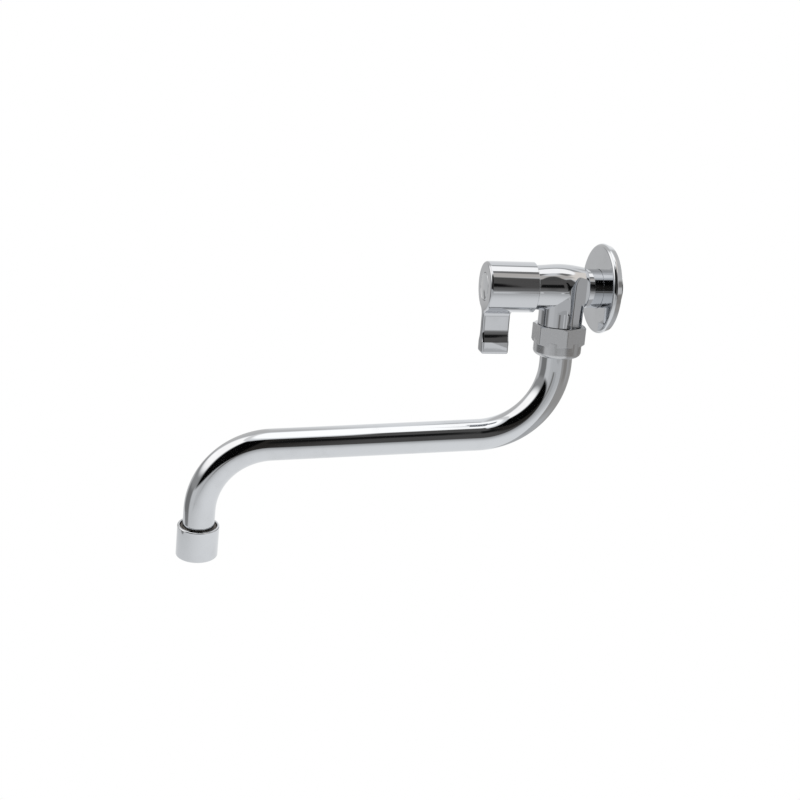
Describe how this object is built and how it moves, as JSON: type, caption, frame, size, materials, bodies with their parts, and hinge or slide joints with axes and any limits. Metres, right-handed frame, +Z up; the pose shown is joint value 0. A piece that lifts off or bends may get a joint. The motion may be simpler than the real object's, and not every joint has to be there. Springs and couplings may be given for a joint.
{
  "type": "wall faucet",
  "caption": "Chromed wall-mounted sink faucet with a round quarter-turn handle, a short hanging lever and a long swivelling S-shaped spout with a round aerator.",
  "frame": {"origin": "centre of the wall flange's back face, on the inlet axis", "axes": "+Y into the wall along the inlet, +Z up, +X to the right when facing the wall; the faucet stands out along -Y"},
  "size_m": [0.0569, 0.2396, 0.1908],
  "materials": {
    "chrome": "polished",
    "brass": "machined",
    "steel": "satin",
    "rubber": "matte",
    "plastic": "moulded",
    "ceramic": "lapped"
  },
  "bodies": {
    "fixed_body": {"wall_flange": "chrome", "valve_body": "chrome", "cartridge_housing": "brass", "cartridge_o_ring": "rubber", "seat_seal": "rubber", "fixed_disc": "ceramic", "slide_washer": "plastic", "spout_nut": "chrome", "spout_packing": "rubber", "spout_slip_ring": "plastic"},
    "handle_body": {"handle": "chrome", "index_cap": "chrome", "handle_screw": "steel", "spline_bush": "plastic", "spindle": "brass", "spindle_clip": "steel", "spindle_o_rings": "rubber", "moving_disc": "ceramic"},
    "spout_body": {"spout_tube": "chrome", "spout_collar": "brass", "tip_sleeve": "brass", "aerator_cap": "chrome", "aerator_washer": "rubber", "aerator_insert": "plastic", "jet_plate": "plastic", "aerator_screens": "steel"}
  },
  "joints": [
    {"name": "handle_turn", "type": "hinge", "parent": "fixed_body", "child": "handle_body", "pos_m": [0, -0.05, 0], "axis": [0, -1, 0], "range_deg": [0, 90]},
    {"name": "spout_swivel", "type": "hinge", "parent": "fixed_body", "child": "spout_body", "pos_m": [0, -0.024, -0.03], "axis": [0, 0, 1], "range_deg": [-84.06, 95.94]}
  ]
}
